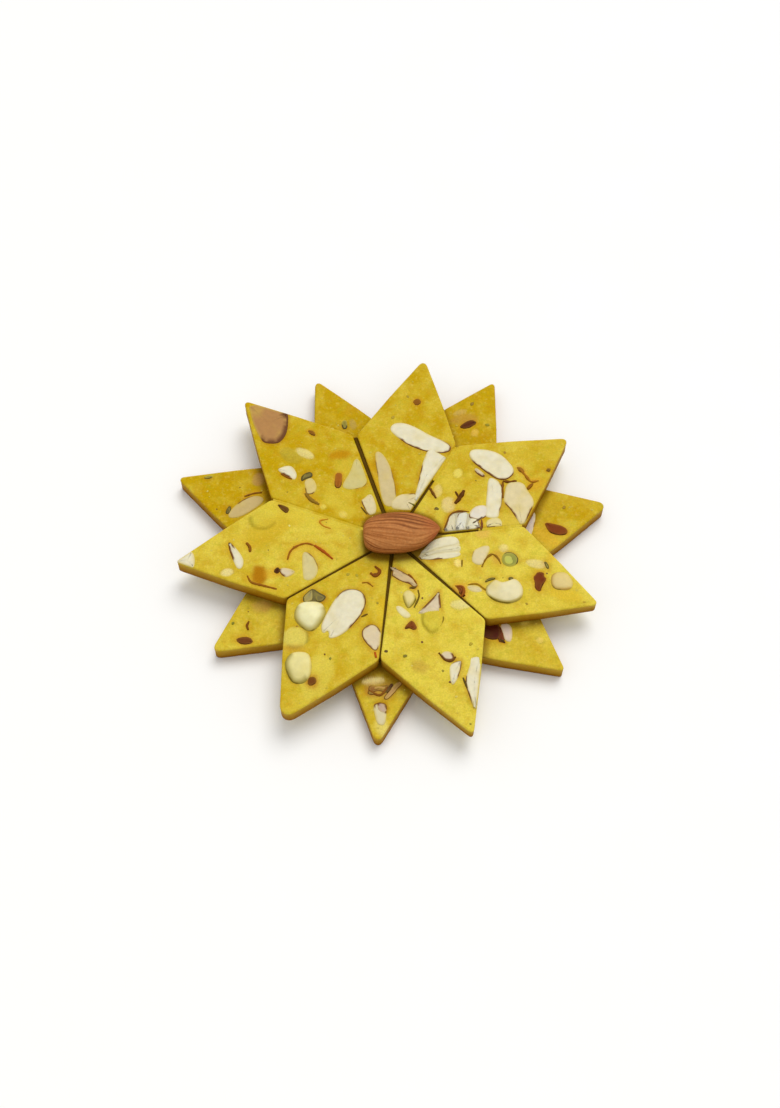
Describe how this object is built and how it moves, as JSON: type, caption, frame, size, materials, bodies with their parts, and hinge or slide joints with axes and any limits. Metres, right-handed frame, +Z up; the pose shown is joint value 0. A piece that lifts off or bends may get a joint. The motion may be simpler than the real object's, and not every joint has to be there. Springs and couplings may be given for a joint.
{
  "type": "kaju katli star",
  "caption": "Star-shaped arrangement of thin diamond slices of saffron-yellow cashew fudge in stacked rings, nut pieces rolled into them, with a whole almond on the centre.",
  "frame": {"origin": "on the surface the star lies on, under the middle of the star's bounding box", "axes": "+Z up through the whole almond; +X towards the almond's pointed end, along the star's longest extent; +Y away from the side the star is seen from"},
  "size_m": [0.128, 0.1236, 0.0178],
  "materials": {
    "paste": "saffron-yellow cashew paste, rolled flat, faintly oily and smooth on top, cut with a knife at the sides",
    "almond_flake": "sliced blanched almond, cream white and dry, thin brown skin at its rim",
    "almond_skin": "tan inner side of an almond's skin on a sliced piece",
    "cashew": "cashew piece stained pale yellow by saffron, waxy",
    "whole_almond": "raw almond skin, orange-brown, ridged lengthwise, dull with a dusty bloom"
  },
  "bodies": {
    "root": {"almond_skin_side_1": "almond_skin", "almond_skin_side_2": "almond_skin", "almond_slice_1": "almond_flake", "almond_slice_10": "almond_flake", "almond_slice_11": "almond_flake", "almond_slice_12": "almond_flake", "almond_slice_13": "almond_flake", "almond_slice_14": "almond_flake", "almond_slice_15": "almond_flake", "almond_slice_16": "almond_flake", "almond_slice_17": "almond_flake", "almond_slice_18": "almond_flake", "almond_slice_19": "almond_flake", "almond_slice_2": "almond_flake", "almond_slice_20": "almond_flake", "almond_slice_3": "almond_flake", "almond_slice_4": "almond_flake", "almond_slice_5": "almond_flake", "almond_slice_6": "almond_flake", "almond_slice_7": "almond_flake", "almond_slice_8": "almond_flake", "almond_slice_9": "almond_flake", "cashew_1": "cashew", "cashew_2": "cashew", "cashew_3": "cashew", "cashew_4": "cashew", "lower_1": "paste", "lower_2": "paste", "lower_3": "paste", "lower_4": "paste", "lower_5": "paste", "lower_6": "paste", "lower_7": "paste", "upper_1": "paste", "upper_2": "paste", "upper_3": "paste", "upper_4": "paste", "upper_5": "paste", "upper_6": "paste", "upper_7": "paste", "whole_almond": "whole_almond"}
  },
  "joints": []
}
